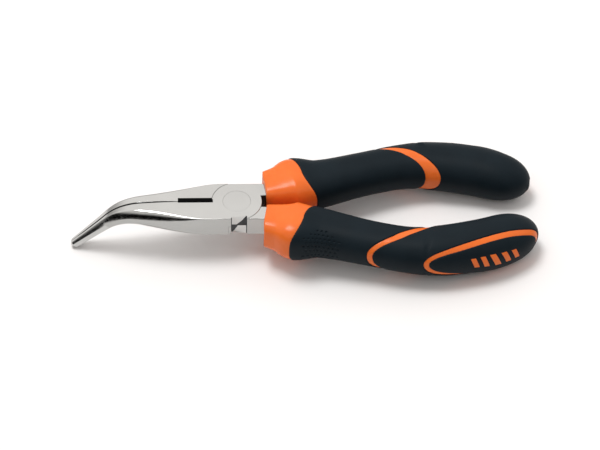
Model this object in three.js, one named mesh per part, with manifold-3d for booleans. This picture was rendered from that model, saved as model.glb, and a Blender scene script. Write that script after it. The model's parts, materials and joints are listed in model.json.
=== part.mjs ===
// Bent needle nose pliers with two-material grips, as an assembly of separate solids.
//
// The tool's own frame: the pivot is the origin, the rivet's axis is Z, the handles point to +X, the jaws to -X,
// and the plane y = 0 is where the two jaws meet. The two steel halves cross in a lap joint: the upper half is the
// jaw on the -Y side and the handle on the +Y side, and its plate lies above z = 0. The lower half is the other way
// round. The whole tool is then set down as it rests on a table, on its bent tips and on both grips.
// All sizes are in millimetres.

import * as THREE from "three";
import { mergeVertices } from "three/addons/utils/BufferGeometryUtils.js";
import Module from "manifold-3d";

const wasm = await Module();
wasm.setup();

// ---- Head and lap joint ----
const headHalfWidth = 8.1;
const headThickness = 7.9;
const lapShoulder = 0.5; // how far the round shoulders stand outside the head's flat sides
const lapGap = 0.1; // between the two plates, and round the plate's edge
const handleGap = 1.85; // from y = 0 to a handle's inner side, just behind the joint
const notchFrom = -2;
const notchTo = 3.4;
const notchDepth = 1.2;

// ---- Rivet ----
const rivetRadius = 2.95;
const rivetHeadRadius = 4.75;
const rivetHeadDepth = 1.65;
const runningGap = 0.08;
const rivetSink = 0.03; // below the ground face

// ---- Jaws ----
const jawGap = 0.08; // between the closed jaws
const bendStart = 31.6; // from the pivot to where the nose begins to bend
const bendRadius = 17.7;
const bendAngle = THREE.MathUtils.degToRad(44);
const tipLength = 18.2; // the straight tip beyond the bend
const tipRound = 1.55;
const toothPitch = 1.6;
const toothDepth = 0.3;
// Along the nose from the pivot: [distance, thickness, edge radius]
const noseRows = [
  [0, headThickness, 0.3],
  [13, headThickness, 0.35],
  [24, headThickness, 1.4],
  [bendStart, 7.2, 2.1],
  [bendStart + 7.9, 6.2, 2.3],
  [bendStart + 14.8, 4.5, 1.9],
  [bendStart + 31.5, 2.8, 1.3],
];
// Outer side of each jaw, from the meeting plane: [distance from the pivot, width]
const upperJawRows = [
  [0, headHalfWidth],
  [14, headHalfWidth],
  [22.6, 7.35],
  [bendStart, 5.7],
  [bendStart + 7.9, 4.0],
  [bendStart + 14.8, 2.9],
  [bendStart + 31.5, 1.6],
];
const lowerJawRows = [
  [0, headHalfWidth],
  [7, headHalfWidth],
  [14.7, 6.95],
  [bendStart, 5.1],
  [bendStart + 7.9, 4.3],
  [bendStart + 14.8, 3.4],
  [bendStart + 31.5, 1.6],
];

// ---- Wire cutter between the jaws, behind the gripping faces ----
const cutterStart = 8.1;
const cutterEnd = 20;
const cutterLowerOpening = 1.6; // at the top face, in the lower half's jaw
const cutterUpperOpening = 0.5;
const cutterEdge = 0.25; // half the thickness left between the bevels

// ---- Tang, the steel inside each grip ----
const tangHalfThickness = 2.95;
const tangHalfWidth = 3.15;
const tangEnd = 76.5;
const tangFull = 11.8; // where the full head thickness steps down to the tang

// ---- Grips ----
// Along the handle: [x, side distance of the middle, half width, half thickness, squareness]
const gripRows = [
  [9.4, 7.45, 6.6, 6, 3.6],
  [14.2, 8.65, 7.75, 6.7, 3.3],
  [19.2, 10.1, 9.7, 7.85, 3],
  [28.5, 11.3, 8.45, 7.15, 2.5],
  [43.2, 15.6, 7.75, 6.8, 2.3],
  [57, 19.05, 8.05, 6.95, 2.2],
  [66.8, 19.65, 8.65, 7.45, 2.2],
  [82.5, 17.3, 9.15, 7.85, 2.2],
  [92.3, 13.85, 8.85, 7.65, 2.2],
  [101.7, 10, 8.45, 7.65, 2.2],
];
const gripStart = gripRows[0][0];
const gripEnd = gripRows[gripRows.length - 1][0];
const roundFrom = 87.4; // where the closing round of the butt begins
const stripeRecess = 0.35; // the hard core lies this far below the soft zones
const softThickness = 1.55;
const bondGap = 0.1; // between moulded pieces
// The soft front zone begins behind the collar: x of its edge at the inner side, on top and at the outer side.
const collarInner = 27.5;
const collarTop = 23.6;
const collarOuter = 18;
// The pattern is turned a little round the handle, down on this side and so up on the other.
const patternTurn = THREE.MathUtils.degToRad(-14.5);
// The slanting stripe: middle x, how far it slants to either side, its width and how much that varies.
const stripeMiddle = 57.3;
const stripeSlant = 11.4;
const stripeWidth = 3.65;
const stripeVary = 2.05;
// The oval palm inlay is sliced off the outer side along this line, seen from above: [x, side distance of the
// middle of the ring round the inlay, ring width]
const palmRows = [
  [58, 28.9, 0.7],
  [62, 28.1, 0.8],
  [68, 26.95, 1.1],
  [75, 25.2, 1.5],
  [82.5, 22.9, 1.7],
  [90.4, 20.1, 1.7],
  [96.3, 17.7, 1.7],
  [100.2, 15.3, 1.7],
  [106, 10.6, 1.7],
];
const palmAxis = 17.7; // side distance of the line it is turned round

// ---- Mesh resolution ----
const aroundGrip = 28;
const alongSleeve = 6;
const alongCore = 15;
const tangStep = 5;
const roundSegments = 48;

// ================= Small tools =================

// A closed three.js geometry as a manifold solid.
function solid(geometry) {
  const bare = geometry.index ? geometry.toNonIndexed() : geometry.clone();
  bare.deleteAttribute("normal");
  bare.deleteAttribute("uv");
  const merged = mergeVertices(bare, 1e-4);
  return new wasm.Manifold(
    new wasm.Mesh({
      numProp: 3,
      vertProperties: new Float32Array(merged.attributes.position.array),
      triVerts: new Uint32Array(merged.index.array),
    }),
  );
}

// A manifold solid as a three.js geometry.
function geometryOf(made) {
  const mesh = made.getMesh();
  const geometry = new THREE.BufferGeometry();
  geometry.setAttribute("position", new THREE.BufferAttribute(mesh.vertProperties, 3));
  geometry.setIndex(new THREE.BufferAttribute(mesh.triVerts, 1));
  geometry.computeVertexNormals();
  return geometry;
}

// A flat outline, given as [x, y] pairs, extruded from z = low to z = high.
function prism(points, low, high) {
  const shape = new THREE.Shape(points.map(([x, y]) => new THREE.Vector2(x, y)));
  const geometry = new THREE.ExtrudeGeometry(shape, { depth: high - low, bevelEnabled: false });
  return solid(geometry.translate(0, 0, low));
}

// A round plate about Z.
function disc(radius, low, high) {
  const geometry = new THREE.CylinderGeometry(radius, radius, high - low, roundSegments);
  return solid(geometry.rotateX(Math.PI / 2).translate(0, 0, (low + high) / 2));
}

function block(x0, x1, y0, y1, z0, z1) {
  const geometry = new THREE.BoxGeometry(x1 - x0, y1 - y0, z1 - z0);
  return solid(geometry.translate((x0 + x1) / 2, (y0 + y1) / 2, (z0 + z1) / 2));
}

// Rings of equally many points, joined into a closed skin. Ends are capped, or joined to each other.
function loft(rings, joinEnds = false) {
  const count = rings[0].length;
  const positions = rings.flat().flatMap((p) => [p.x, p.y, p.z]);
  const index = [];
  const spans = joinEnds ? rings.length : rings.length - 1;
  for (let i = 0; i < spans; i++) {
    const next = (i + 1) % rings.length;
    for (let j = 0; j < count; j++) {
      const k = (j + 1) % count;
      const [a, b, c, d] = [i * count + j, i * count + k, next * count + k, next * count + j];
      index.push(a, b, c, a, c, d);
    }
  }
  if (!joinEnds) {
    for (const [ring, flip] of [[0, true], [rings.length - 1, false]]) {
      const middle = positions.length / 3;
      const sum = rings[ring].reduce((t, p) => t.add(p), new THREE.Vector3()).divideScalar(count);
      positions.push(sum.x, sum.y, sum.z);
      for (let j = 0; j < count; j++) {
        const [a, b] = [ring * count + j, ring * count + ((j + 1) % count)];
        index.push(middle, flip ? b : a, flip ? a : b);
      }
    }
  }
  const geometry = new THREE.BufferGeometry();
  geometry.setAttribute("position", new THREE.Float32BufferAttribute(positions, 3));
  geometry.setIndex(index);
  const made = solid(geometry);
  if (made.volume() > 0) return made;
  for (let i = 0; i < index.length; i += 3) [index[i], index[i + 1]] = [index[i + 1], index[i]];
  geometry.setIndex(index);
  return solid(geometry);
}

// A column of a table of rows, read smoothly at x.
function smooth(rows, x, column) {
  const last = rows.length - 1;
  let i = 0;
  while (i < last - 1 && x > rows[i + 1][0]) i++;
  const slope = (k) => {
    const [low, high] = [Math.max(k - 1, 0), Math.min(k + 1, last)];
    return (rows[high][column] - rows[low][column]) / (rows[high][0] - rows[low][0]);
  };
  const span = rows[i + 1][0] - rows[i][0];
  const t = THREE.MathUtils.clamp((x - rows[i][0]) / span, 0, 1);
  const [p, q] = [rows[i][column], rows[i + 1][column]];
  const [u, v] = [slope(i) * span, slope(i + 1) * span];
  return p + t * (u + t * (3 * (q - p) - 2 * u - v + t * (2 * (p - q) + u + v)));
}

// The same table read along straight lines.
function linear(rows, x, column) {
  let i = 0;
  while (i < rows.length - 2 && x > rows[i + 1][0]) i++;
  const t = THREE.MathUtils.clamp((x - rows[i][0]) / (rows[i + 1][0] - rows[i][0]), 0, 1);
  return THREE.MathUtils.lerp(rows[i][column], rows[i + 1][column], t);
}

// ================= Steel halves =================

const noseLength = bendStart + bendRadius * bendAngle + tipLength;

// The nose's middle line at a distance from the pivot: its place, and the direction square to it, upwards.
function nosePath(along) {
  const turned = THREE.MathUtils.clamp((along - bendStart) / bendRadius, 0, bendAngle);
  const beyond = Math.max(along - bendStart - bendRadius * bendAngle, 0);
  const straight = Math.min(along, bendStart);
  const x = -(straight + bendRadius * Math.sin(turned) + beyond * Math.cos(turned));
  const z = -(bendRadius * (1 - Math.cos(turned)) + beyond * Math.sin(turned));
  return { x, z, upX: -Math.sin(turned), upZ: Math.cos(turned) };
}

// One cross-section of a jaw: side is -1 or +1, inner is how far its gripping face is from y = 0.
function jawRing(along, side, rows, inner, shrink = 1) {
  const path = nosePath(along);
  const half = (linear(noseRows, along, 1) / 2) * shrink;
  const width = inner + (smooth(rows, along, 1) - inner) * shrink;
  const radius = Math.min(linear(noseRows, along, 2), half * 0.92, (width - inner) * 0.8);
  const outline = [[inner, -half], [inner, half]];
  const cornerSteps = 3;
  for (const [sign, from] of [[1, Math.PI / 2], [-1, 0]]) {
    for (let i = 0; i <= cornerSteps; i++) {
      const angle = from - ((Math.PI / 2) * i) / cornerSteps;
      outline.push([
        width - radius + radius * Math.cos(angle),
        sign * (half - radius) + radius * Math.sin(angle),
      ]);
    }
  }
  return outline.map(
    ([across, up]) => new THREE.Vector3(path.x + up * path.upX, side * across, path.z + up * path.upZ),
  );
}

// A jaw: plain as far as the cutter, then toothed to the tip.
function jaw(side, rows) {
  const rings = [];
  const face = jawGap / 2;
  for (let along = 0; along < cutterEnd + 1; along += 2) rings.push(jawRing(along, side, rows, face));
  const first = cutterEnd + 1.6;
  const teeth = Math.floor((noseLength - tipRound - first) / toothPitch);
  for (let i = 0; i <= teeth * 2; i++) {
    const along = first + (i * toothPitch) / 2;
    rings.push(jawRing(along, side, rows, face + (i % 2 ? toothDepth : 0)));
  }
  for (const turn of [0, 0.35, 0.65, 0.88]) {
    const along = noseLength - tipRound * (1 - turn);
    rings.push(jawRing(along, side, rows, face, Math.sqrt(1 - turn * turn)));
  }
  return loft(rings);
}

// The side distance of the tang's middle: it leaves the head beside the gap and joins the grip's middle line.
function tangMiddle(x) {
  const start = (headHalfWidth + handleGap) / 2;
  const t = THREE.MathUtils.smoothstep(x, gripStart, gripRows[3][0]);
  return THREE.MathUtils.lerp(start + (x - gripStart) * 0.3, smooth(gripRows, x, 1), t);
}

// The outline of the handle's steel on the +Y side, seen from above, grown by a clearance.
function tangOutline(from, to, grow) {
  const outer = [];
  const inner = [];
  for (let x = from; x < to; x += tangStep) {
    outer.push([x, tangMiddle(x) + tangHalfWidth + grow]);
    inner.unshift([x, tangMiddle(x) - tangHalfWidth - grow]);
  }
  outer.push([to + grow, tangMiddle(to) + tangHalfWidth * 0.6 + grow]);
  inner.unshift([to + grow, tangMiddle(to) - tangHalfWidth * 0.6 - grow]);
  return [...outer, ...inner];
}

// The handle's steel on the +Y side, from the joint to the tang's end.
function handleSteel(grow = 0) {
  const half = headThickness / 2;
  const root = prism(
    [
      [0, handleGap - grow],
      [tangFull + grow, tangMiddle(tangFull) - tangHalfWidth - grow],
      [tangFull + grow, tangMiddle(tangFull) + tangHalfWidth + grow],
      [gripStart, headHalfWidth + grow],
      [0, headHalfWidth + grow],
    ],
    -half - grow,
    half + grow,
  );
  const tang = prism(
    tangOutline(tangFull - 2, tangEnd, grow),
    -tangHalfThickness - grow,
    tangHalfThickness + grow,
  );
  return root.add(tang);
}

// Turned half way round X, which takes the upper half's joint and handle to the lower half's.
function flipped(made) {
  return made.rotate([180, 0, 0]);
}

// The joint and handle of the upper half: plate above z = 0, handle on the +Y side.
// notchSide is the side, -1 or +1, that the notch in the head's flank is on.
function upperBody(withJaw, notchSide) {
  const half = headThickness / 2;
  const reach = headHalfWidth + lapShoulder;
  const plate = disc(reach - lapGap, lapGap / 2, half).intersect(
    block(-reach, reach, -headHalfWidth, headHalfWidth, 0, half),
  );
  const room = disc(reach, -half - 1, lapGap / 2);
  const notch = block(
    notchFrom,
    notchTo,
    notchSide > 0 ? headHalfWidth - notchDepth : -reach,
    notchSide > 0 ? reach : notchDepth - headHalfWidth,
    -half - 1,
    half + 1,
  );
  return withJaw
    .add(handleSteel())
    .subtract(room)
    .add(plate)
    .subtract(notch)
    .subtract(disc(rivetRadius + runningGap, -half - 1, half + 1))
    .subtract(disc(rivetHeadRadius + runningGap, half - rivetHeadDepth - runningGap, half + 1));
}

// The cutter's bevels in one jaw, as two wedges that leave a thin edge at half thickness.
function cutterBevels(side, opening) {
  const half = headThickness / 2;
  const wedge = (sign) => {
    const outline = [
      [-1, cutterEdge],
      [jawGap / 2, cutterEdge],
      [opening, half + 0.01],
      [opening, half + 2],
      [-1, half + 2],
    ];
    const shape = new THREE.Shape(outline.map(([y, z]) => new THREE.Vector2(side * y, sign * z)));
    const geometry = new THREE.ExtrudeGeometry(shape, {
      depth: cutterEnd - cutterStart,
      bevelEnabled: false,
    });
    // The shape's X and Y become the tool's Y and Z, and its depth runs along X.
    geometry.applyMatrix4(new THREE.Matrix4().set(0, 0, 1, -cutterEnd, 1, 0, 0, 0, 0, 1, 0, 0, 0, 0, 0, 1));
    return solid(geometry);
  };
  return wedge(1).add(wedge(-1));
}

function upperHalf() {
  const nearJaw = jaw(-1, upperJawRows);
  return upperBody(nearJaw, -1).subtract(cutterBevels(-1, cutterUpperOpening));
}

function lowerHalf() {
  // Built turned over, so its jaw is turned over first and comes back with the rest.
  const farJaw = flipped(jaw(1, lowerJawRows));
  return flipped(upperBody(farJaw, 1)).subtract(cutterBevels(1, cutterLowerOpening));
}

function rivet() {
  const top = headThickness / 2 - rivetSink;
  const under = headThickness / 2 - rivetHeadDepth;
  const profile = [
    [0, -top],
    [rivetHeadRadius, -top],
    [rivetHeadRadius, -under],
    [rivetRadius, -under],
    [rivetRadius, under],
    [rivetHeadRadius, under],
    [rivetHeadRadius, top],
    [0, top],
  ].map(([r, z]) => new THREE.Vector2(r, z));
  return solid(new THREE.LatheGeometry(profile, roundSegments).rotateX(Math.PI / 2));
}

// ================= Grips, drawn for the +Y side =================

// The grip's surface at x along the handle and an angle round it (0 at the outer side, a quarter turn on top),
// moved out by a distance.
function gripPoint(x, angle, out) {
  const step = 0.5;
  const slope = (smooth(gripRows, x + step, 1) - smooth(gripRows, x - step, 1)) / (2 * step);
  const length = Math.hypot(1, slope);
  const closing = THREE.MathUtils.clamp((x - roundFrom) / (gripEnd - roundFrom), 0, 1);
  const share = Math.sqrt(Math.max(1 - closing ** 2.2, 0));
  const halfWidth = Math.max(smooth(gripRows, x, 2) * share + out, 0.05);
  const halfThick = Math.max(smooth(gripRows, x, 3) * share + out, 0.05);
  const power = 2 / smooth(gripRows, x, 4);
  const [c, s] = [Math.cos(angle), Math.sin(angle)];
  const across = halfWidth * Math.sign(c) * Math.abs(c) ** power;
  const up = halfThick * Math.sign(s) * Math.abs(s) ** power;
  return new THREE.Vector3(
    x - (across * slope) / length,
    smooth(gripRows, x, 1) + across / length,
    up,
  );
}

// A ring round the grip, where x may change with the angle.
function gripRing(xOf, out) {
  const ring = [];
  for (let j = 0; j < aroundGrip; j++) {
    const angle = (2 * Math.PI * j) / aroundGrip;
    ring.push(gripPoint(xOf(angle), angle, out));
  }
  return ring;
}

// Rings from one edge curve to another.
function gripRings(fromOf, toOf, out, spans) {
  const rings = [];
  for (let i = 0; i <= spans; i++) {
    const t = i / spans;
    rings.push(gripRing((angle) => THREE.MathUtils.lerp(fromOf(angle), toOf(angle), t), out));
  }
  return rings;
}

// The closing round, from x to the butt, in steps that get shorter.
function buttRings(fromOf, out) {
  const rings = [];
  const end = gripEnd + Math.min(out, 0);
  for (const t of [0.3, 0.55, 0.75, 0.88, 0.96, 1]) {
    rings.push(gripRing((angle) => THREE.MathUtils.lerp(fromOf(angle), end - 0.02, t), out));
  }
  return rings;
}

const collarEdge = (angle) => {
  const side = Math.cos(angle); // +1 at the outer side
  const slant = (collarInner - collarOuter) / 2;
  const bow = collarTop - (collarInner + collarOuter) / 2;
  return collarTop - slant * side - bow * side * side;
};
const stripeCentre = (angle) => stripeMiddle - stripeSlant * Math.cos(angle - patternTurn);
const stripeHalf = (angle) => (stripeWidth - stripeVary * Math.cos(angle - patternTurn)) / 2;
const stripeFront = (angle) => stripeCentre(angle) - stripeHalf(angle);
const stripeRear = (angle) => stripeCentre(angle) + stripeHalf(angle);

// A closed sleeve of the soft material between two edge curves.
function sleeve(fromOf, toOf, inner, outer) {
  const outside = gripRings(fromOf, toOf, outer, alongSleeve);
  const inside = gripRings(fromOf, toOf, inner, alongSleeve).reverse();
  return loft([...outside, ...inside], true);
}

// A closed cup of the soft material from an edge curve to the butt.
function cup(fromOf, inner, outer) {
  const straightTo = () => roundFrom;
  const build = (out) => [
    ...gripRings(fromOf, straightTo, out, alongSleeve),
    ...buttRings(straightTo, out),
  ];
  return loft([...build(outer).reverse(), ...build(inner)]);
}

// Everything on the outer side of the palm line, which is moved by a share of the ring's width.
function palmCutter(share) {
  const points = palmRows.map(([x, y, width]) => [x, y + width * share]);
  const [start, end] = [points[0][0], points[points.length - 1][0]];
  const outside = 60;
  const deep = 30;
  return prism([...points, [end, outside], [start, outside]], -deep, deep)
    .translate([0, -palmAxis, 0])
    .rotate([THREE.MathUtils.radToDeg(patternTurn), 0, 0])
    .translate([0, palmAxis, 0]);
}

const frontZone = (grow) =>
  sleeve(
    (a) => collarEdge(a) - grow,
    (a) => stripeFront(a) + grow,
    -softThickness - grow,
    grow * 8,
  );
const rearShell = (grow) => cup((a) => stripeRear(a) - grow, -softThickness - grow, grow * 8);
// A share of half the ring's width either way, less the room that a pocket is grown by.
const rearZone = (grow) => rearShell(grow).subtract(palmCutter(-0.5 + grow / 2));
const palmInlay = (grow) => rearShell(grow).intersect(palmCutter(0.5 - grow / 2));

// The hard core: collar, stripe and ring in one moulding, with pockets for the soft zones and room for the tang.
function gripCore() {
  const straightTo = () => roundFrom;
  const skin = [
    ...gripRings(() => gripStart, straightTo, -stripeRecess, alongCore),
    ...buttRings(straightTo, -stripeRecess),
  ];
  return loft(skin)
    .subtract(frontZone(bondGap))
    .subtract(rearZone(bondGap))
    .subtract(palmInlay(bondGap))
    .subtract(handleSteel(bondGap));
}

// ================= The tool, set down on a table =================

const steel = new THREE.MeshStandardMaterial({ color: 0xc9cac6, metalness: 1, roughness: 0.22 });
const rivetSteel = new THREE.MeshStandardMaterial({ color: 0xc2c3c0, metalness: 1, roughness: 0.28 });
const orange = new THREE.MeshStandardMaterial({ color: 0xf2702c, metalness: 0, roughness: 0.38 });
const black = new THREE.MeshStandardMaterial({ color: 0x1b2429, metalness: 0, roughness: 0.62 });

const tool = new THREE.Group();

function place(name, made, material) {
  const mesh = new THREE.Mesh(geometryOf(made), material);
  mesh.name = name;
  tool.add(mesh);
}

place("upper_half", upperHalf(), steel);
place("lower_half", lowerHalf(), steel);
place("pivot_rivet", rivet(), rivetSteel);
const gripPieces = [
  ["grip_core", gripCore(), orange],
  ["front_sleeve", frontZone(0), black],
  ["rear_sleeve", rearZone(0), black],
  ["palm_inlay", palmInlay(0), black],
];
for (const [name, made, material] of gripPieces) {
  place(`far_${name}`, made, material);
  place(`near_${name}`, flipped(made), material);
}

// The tilt at which the tips and both grips touch the table together.
function restingTilt() {
  const points = [];
  for (const mesh of tool.children) {
    const at = mesh.geometry.getAttribute("position");
    for (let i = 0; i < at.count; i++) points.push([at.getX(i), at.getZ(i)]);
  }
  let tilt = 0;
  for (let round = 0; round < 8; round++) {
    const height = ([x, z]) => z * Math.cos(tilt) - x * Math.sin(tilt);
    const lowest = (list) => list.reduce((best, p) => (height(p) < height(best) ? p : best));
    const tip = lowest(points.filter(([x]) => x < -bendStart));
    const grip = lowest(points.filter(([x]) => x > gripStart));
    tilt = Math.atan2(grip[1] - tip[1], grip[0] - tip[0]);
  }
  return tilt;
}

tool.rotation.y = restingTilt();
const object = new THREE.Group();
object.add(tool);

// The origin is on the table, under the middle of the object.
const bounds = new THREE.Box3().setFromObject(object, true);
const centre = bounds.getCenter(new THREE.Vector3());
tool.position.set(-centre.x, -centre.y, -bounds.min.z);

export default object;
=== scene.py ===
"""The looks of the bent needle nose pliers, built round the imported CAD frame.

Shapes are worked out in millimetres in the tool's own frame, as in the CAD: the pivot is the origin, the
rivet's axis is Z, the handles point to +X, the jaws to -X, and the plane y = 0 is where the jaws meet.
to_row() turns that into metres in the frame the tool lies in. Each grip is drawn for the +Y side, and the
other one is the same grip turned half way round X.
"""

import json
import math

import bpy
import numpy as np
from mathutils import Matrix, Vector


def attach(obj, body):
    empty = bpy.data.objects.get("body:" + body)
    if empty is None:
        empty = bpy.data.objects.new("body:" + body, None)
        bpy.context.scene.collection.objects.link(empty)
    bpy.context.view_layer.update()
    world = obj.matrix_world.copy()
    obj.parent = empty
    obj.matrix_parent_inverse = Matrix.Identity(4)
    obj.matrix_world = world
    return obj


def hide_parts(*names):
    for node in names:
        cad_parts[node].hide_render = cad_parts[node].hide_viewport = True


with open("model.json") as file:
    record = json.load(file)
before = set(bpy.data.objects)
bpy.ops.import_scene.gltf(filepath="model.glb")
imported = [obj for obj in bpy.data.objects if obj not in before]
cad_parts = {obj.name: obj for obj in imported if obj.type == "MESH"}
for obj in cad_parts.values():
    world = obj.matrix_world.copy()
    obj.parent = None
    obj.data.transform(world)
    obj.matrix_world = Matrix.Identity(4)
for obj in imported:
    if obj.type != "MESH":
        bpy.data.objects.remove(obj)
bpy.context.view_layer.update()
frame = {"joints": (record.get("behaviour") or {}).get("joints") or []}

MM = 0.001
PIVOT = frame["joints"][0]
ORIGIN = np.array(PIVOT["pos_m"], float)
LEAN = math.atan2(PIVOT["axis"][0], PIVOT["axis"][2])

# ---- Grip, along the handle: x, side distance of the middle, half width, half thickness, squareness ----
GRIP_ROWS = np.array([
    [9.4, 7.45, 6.6, 6.0, 3.6],
    [14.2, 8.65, 7.75, 6.7, 3.3],
    [19.2, 10.1, 9.7, 7.85, 3.0],
    [28.5, 11.3, 8.45, 7.15, 2.5],
    [43.2, 15.6, 7.75, 6.8, 2.3],
    [57.0, 19.05, 8.05, 6.95, 2.2],
    [66.8, 19.65, 8.65, 7.45, 2.2],
    [82.5, 17.3, 9.15, 7.85, 2.2],
    [92.3, 13.85, 8.85, 7.65, 2.2],
    [101.7, 10.0, 8.45, 7.65, 2.2],
])
GRIP_START = GRIP_ROWS[0, 0]
GRIP_END = GRIP_ROWS[-1, 0]
ROUND_FROM = 87.4
ROUND_POWER = 2.45
MEAN_RADIUS = 8.2
STRIPE_RECESS = 0.3
SOFT_UNDERSIDE = -1.3
EDGE_ROUND = 0.6
SHARP_ANGLE = math.radians(35)
# The core steps down under a soft zone, from this far inside the border, over this width.
CORE_STEP_FROM = 0.2
CORE_STEP_WIDTH = 0.4
# The core's front end is closed by rings at these depths below the surface.
CORE_FRONT_DEPTHS = (3.0, 1.5)

# ---- Borders of the soft zones ----
COLLAR_INNER = 26.4
COLLAR_TOP = 22.2
COLLAR_OUTER = 19.0
COLLAR_SKEW = 0.9
COLLAR_ROUND = 0.5
PATTERN_TURN = math.radians(-14.5)
STRIPE_MIDDLE = 57.3
STRIPE_SLANT = 11.4
STRIPE_WIDTH = 3.65
STRIPE_VARY = 2.05
# The palm line, seen from above: x, side distance of the middle of the ring, ring width.
PALM_ROWS = np.array([
    [58, 29.0, 0.35],
    [62, 28.15, 0.45],
    [68, 26.95, 0.85],
    [75, 25.25, 1.4],
    [82.5, 23.0, 1.7],
    [90.4, 20.4, 1.7],
    [96.3, 18.4, 1.6],
    [100.2, 16.3, 1.5],
    [106, 12.2, 1.5],
])
PALM_AXIS = 17.7
PALM_WIDEST_TURN = math.radians(110)
# The ring's two borders, as shares of its width from the palm line.
RING_OUTSIDE = -0.5
RING_INSIDE = 0.5
# Plain bars on the near inlay.
BAR_COUNT = 5
BAR_START = 76.8
BAR_PITCH = 3.1
BAR_WIDTH = 1.6
BAR_TURN = 0.03
BAR_HEIGHT = 4.6
BAR_SLANT = 0.35
BAR_PROUD = 0.08
BAR_UNDERSIDE = -0.2
BAR_TAPER = 0.1

# ---- Dimples on the outer side of the front zone ----
DOT_PITCH = 1.62
DOT_RADIUS = 0.46
DOT_DEPTH = 0.3
DOT_MIDDLE = 29.3
DOT_HALF_LENGTH = 7.4
DOT_HALF_TURN = math.radians(50)
DOT_ZONE_HALF_TURN = math.radians(72)

# ---- Steel: head, lap joint and rivet ----
HEAD_HALF_WIDTH = 8.1
HEAD_HALF = 3.95
LAP_REACH = 8.6
LAP_GAP = 0.1
LAP_CHAMFER = 0.05
# The notch's start and end along X, its depth, how far its floor leans back and how far it bows.
NOTCH = (-2.0, 3.4, 0.6, 0.7)
NOTCH_BOW = 0.25
# Where the fields of its two layers that are painted dark as shade begin at the edges of the flank, and how
# they slant.
NOTCH_UPPER_FIELD = (3.0, 0.85)
NOTCH_LOWER_FIELD = (0.4, 0.5)
HANDLE_GAP = 1.85
RIVET_RADIUS = 2.95
RIVET_HEAD_RADIUS = 4.75
RIVET_HEAD_DEPTH = 1.65
RIVET_GAP = 0.03
RIVET_SINK = 0.01
RIVET_CHAMFER = 0.03
LATHE_STEPS = 180
TANG_HALF_WIDTH = 3.15
TANG_HALF = 2.95
TANG_FULL = 11.8
TANG_END = 76.5

# ---- Jaws, by the distance from the pivot along the nose ----
BEND_START = 31.6
BEND_RADIUS = 17.7
BEND_ANGLE = math.radians(44)
TIP_LENGTH = 18.2
TIP_ROUND = 1.55
NOSE_LENGTH = BEND_START + BEND_RADIUS * BEND_ANGLE + TIP_LENGTH
# Distance, thickness, radius of the outer edge's upper part, length of the ground facet below it, and the
# facet's slope where it begins and where it ends.
NOSE_ROWS = np.array([
    [0, 7.9, 0.32, 0.1, 41, 21],
    [12, 7.9, 0.32, 0.1, 41, 21],
    [18, 7.9, 0.9, 1.0, 41, 21],
    [25, 7.9, 1.4, 2.15, 42, 21],
    [31.6, 7.2, 1.4, 2.5, 44, 22],
    [39.5, 6.2, 1.0, 2.4, 54, 30],
    [46.4, 4.5, 0.7, 1.9, 62, 41],
    [63.1, 2.8, 0.45, 0.8, 62, 44],
])
# Distance, outer side's distance from the middle plane.
NEAR_JAW_ROWS = np.array([
    [0, 8.1],
    [14, 8.1],
    [22.6, 7.35],
    [31.6, 5.7],
    [39.5, 4.0],
    [46.4, 2.9],
    [63.1, 1.6],
])
FAR_JAW_ROWS = np.array([
    [0, 8.1],
    [7, 8.1],
    [14.7, 6.95],
    [31.6, 5.1],
    [39.5, 4.3],
    [46.4, 3.4],
    [63.1, 1.6],
])
JAW_FACE = 0.04
JAW_SPRING = 0.27
# The jaws touch over this length at the tips, and spring apart behind it.
JAW_TOUCH = 4
# The cutter's start and end, by the distance from the pivot, and the thickness of its edge.
CUTTER = (8.1, 20.0, 0.25)
LOWER_OPENING = 1.6
UPPER_OPENING = 0.5
TEETH_START = 21.6
TOOTH_PITCH = 0.8
TOOTH_DEPTH = 0.16
# How much of the half thickness the teeth reach.
TOOTH_REACH = 0.82

# ---- Studio ----
FLOOR_HALF = 3.0
KEY_PLACE = (-0.22, 0.22, 1.2)
KEY_SIZE = 0.45
KEY_POWER = 8.6
WORLD_DARK_BELOW = 0.38
WORLD_BRIGHT_ABOVE = 0.58
WORLD_FRONT = 0.75
WORLD_BEHIND_FROM = -0.25
WORLD_BEHIND_TO = 0.15
WORLD_COLOUR = (1.0, 0.965, 0.94, 1)
# Height of the direction (1 is straight up), brightness there.
WORLD_LEVELS = [(0.0, 0.42), (0.35, 0.7), (0.6, 1.18), (0.84, 1.18), (1.0, 0.45)]
CAMERA_AZIMUTH = math.radians(-0.82)
CAMERA_ELEVATION = math.radians(48.38)
CAMERA_ROLL = math.radians(-3.79)
CAMERA_DISTANCE = 0.660
CAMERA_LENS = 116.0
CAMERA_ASIDE = (0.0212, -0.0069)

# ================= Mesh tools =================

def to_row(points):
    """Points in the tool's frame in millimetres, as points in the row frame in metres."""
    x, y, z = points[..., 0], points[..., 1], points[..., 2]
    c, s = math.cos(LEAN), math.sin(LEAN)
    return ORIGIN + MM * np.stack([x * c + z * s, y, z * c - x * s], -1)


def grid_faces(rows, columns, around=False):
    """The quads of a grid of points, row by row. Where it goes around, the last column meets the first."""
    spans = columns if around else columns - 1
    i, j = np.meshgrid(np.arange(rows - 1), np.arange(spans), indexing="ij")
    k = (j + 1) % columns
    quads = np.stack([i * columns + j, i * columns + k, (i + 1) * columns + k, (i + 1) * columns + j], -1)
    return quads.reshape(-1, 4)


def shell(top, bottom, faces):
    """A closed wall between two skins with the same faces, sewn together along their open borders."""
    count = len(top)
    directed = np.concatenate([faces[:, [a, (a + 1) % 4]] for a in range(4)])
    key = directed[:, 0] * count + directed[:, 1]
    reverse = directed[:, 1] * count + directed[:, 0]
    border = directed[~np.isin(key, reverse)]
    wall = np.stack([border[:, 1], border[:, 0], border[:, 0] + count, border[:, 1] + count], -1)
    everything = np.concatenate([faces, faces[:, ::-1] + count, wall])
    return np.concatenate([top, bottom]), everything


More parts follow.
